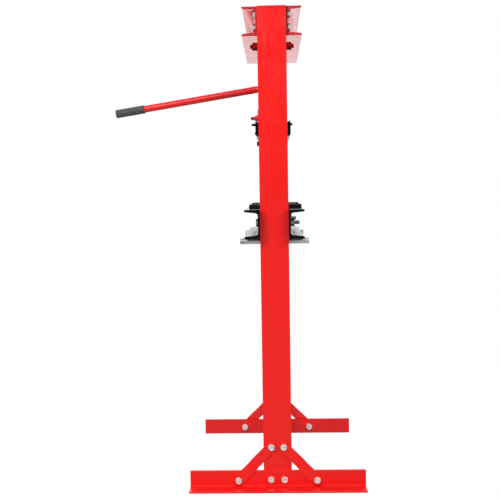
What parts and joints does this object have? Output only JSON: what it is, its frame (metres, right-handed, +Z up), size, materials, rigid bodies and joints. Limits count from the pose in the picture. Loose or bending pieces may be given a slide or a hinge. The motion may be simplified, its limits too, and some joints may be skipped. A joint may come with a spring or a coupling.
{
  "type": "hydraulic shop press",
  "caption": "Upright H-frame press: channel posts on angle feet, a pinned bed with loose plates, and a bottle jack on a sprung carriage that a hand lever pumps down.",
  "frame": {"origin": "on the floor, at the centre of the four floor anchor holes", "axes": "+Z up along the posts, +X to the operator's right, -Y towards the operator; the lever points to -Y"},
  "size_m": [0.62, 0.7351, 1.35],
  "materials": {
    "red_paint": "gloss",
    "painted_studs": "gloss",
    "black_paint": "gloss",
    "jack_red": "gloss",
    "handle_red": "gloss",
    "valve_crimson": "satin",
    "zinc_fasteners": "satin zinc",
    "bright_steel": "ground",
    "polished_steel": "polished",
    "spring_steel": "satin",
    "grip_rubber": "matte, textured",
    "plug_rubber": "matte"
  },
  "bodies": {
    "frame": {"post_left": "red_paint", "post_right": "red_paint", "foot_left": "red_paint", "foot_right": "red_paint", "brace_left_front": "red_paint", "brace_left_rear": "red_paint", "brace_right_front": "red_paint", "brace_right_rear": "red_paint", "head_channel_front": "red_paint", "head_channel_rear": "red_paint", "lower_tie": "red_paint", "reaction_plate": "red_paint", "saddle_ring": "red_paint", "frame_stud": "painted_studs", "frame_stud_nuts": "painted_studs", "return_spring_left": "spring_steel", "return_spring_right": "spring_steel", "base_bolts": "zinc_fasteners", "base_washers": "zinc_fasteners", "base_nuts": "zinc_fasteners", "head_bolts": "zinc_fasteners", "head_washers": "zinc_fasteners", "head_nuts": "zinc_fasteners", "head_spring_rods": "zinc_fasteners"},
    "bed": {"bed_channel_front": "black_paint", "bed_channel_rear": "black_paint", "bed_spacers": "black_paint", "bed_bolts": "zinc_fasteners", "bed_nuts": "zinc_fasteners"},
    "pin_left": {"bed_pin_left": "bright_steel"},
    "pin_right": {"bed_pin_right": "bright_steel"},
    "plate_left": {"arbor_plate_left": "black_paint"},
    "plate_right": {"arbor_plate_right": "black_paint"},
    "carriage": {"carriage_beam": "black_paint", "carriage_ends": "black_paint", "guide_shoes": "black_paint", "carriage_spring_rods": "black_paint", "ram_block": "black_paint", "ram_holder": "black_paint", "ram": "bright_steel", "jack_base": "jack_red", "jack_base_bolts": "zinc_fasteners", "jack_tank": "jack_red", "jack_oil_plug": "plug_rubber", "jack_cylinder": "bright_steel", "jack_cap": "jack_red", "fulcrum_bracket": "zinc_fasteners", "pump_cylinder": "bright_steel", "pivot_pin": "zinc_fasteners"},
    "piston": {"jack_piston": "polished_steel", "extension_screw": "polished_steel"},
    "plunger": {"pump_plunger": "bright_steel"},
    "valve": {"release_valve": "valve_crimson"},
    "set_screw": {"ram_set_screw": "black_paint"},
    "lever": {"handle_socket": "jack_red", "plunger_pin": "zinc_fasteners"},
    "handle": {"handle_tube": "handle_red", "handle_grip": "grip_rubber"}
  },
  "joints": [
    {"name": "carriage_slide", "type": "slide", "parent": "frame", "child": "carriage", "axis": [0, 0, 1], "range_m": [-0.12, 0], "stiffness_N_per_m": 1500, "springref_m": 0.16, "deforming": ["return_spring_left", "return_spring_right"]},
    {"name": "piston_slide", "type": "slide", "parent": "carriage", "child": "piston", "axis": [0, 0, 1], "range_m": [0, 0.12]},
    {"name": "handle_swing", "type": "hinge", "parent": "carriage", "child": "lever", "pos_m": [0, -0.028, 1.157], "axis": [-1, 0, 0], "range_deg": [0, 45]},
    {"name": "plunger_slide", "type": "slide", "parent": "carriage", "child": "plunger", "axis": [0, 0, 1], "range_m": [0, 0.0079]},
    {"name": "handle_pull", "type": "slide", "parent": "lever", "child": "handle", "axis": [0, -0.9883, -0.1522], "range_m": [0, 0.06]},
    {"name": "valve_turn", "type": "hinge", "parent": "carriage", "child": "valve", "pos_m": [0.02, -0.0666, 1.0642], "axis": [0, -1, 0], "range_deg": [0, 270]},
    {"name": "set_screw_turn", "type": "hinge", "parent": "carriage", "child": "set_screw", "pos_m": [0, -0.05, 0.988], "axis": [0, -1, 0], "range_deg": [0, 360]},
    {"name": "bed_lift", "type": "slide", "parent": "frame", "child": "bed", "axis": [0, 0, 1], "range_m": [0, 0.11]},
    {"name": "pin_left_pull", "type": "slide", "parent": "frame", "child": "pin_left", "axis": [0, -1, 0], "range_m": [0, 0.12]},
    {"name": "pin_right_pull", "type": "slide", "parent": "frame", "child": "pin_right", "axis": [0, -1, 0], "range_m": [0, 0.12]},
    {"name": "plate_left_slide", "type": "slide", "parent": "bed", "child": "plate_left", "axis": [1, 0, 0], "range_m": [0, 0.08]},
    {"name": "plate_right_slide", "type": "slide", "parent": "bed", "child": "plate_right", "axis": [-1, 0, 0], "range_m": [0, 0.08]}
  ],
  "couplings": [
    {"joint": "piston_slide", "follows": "carriage_slide", "ratio": -1},
    {"joint": "plunger_slide", "follows": "handle_swing", "m_per_rad": 0.01}
  ]
}
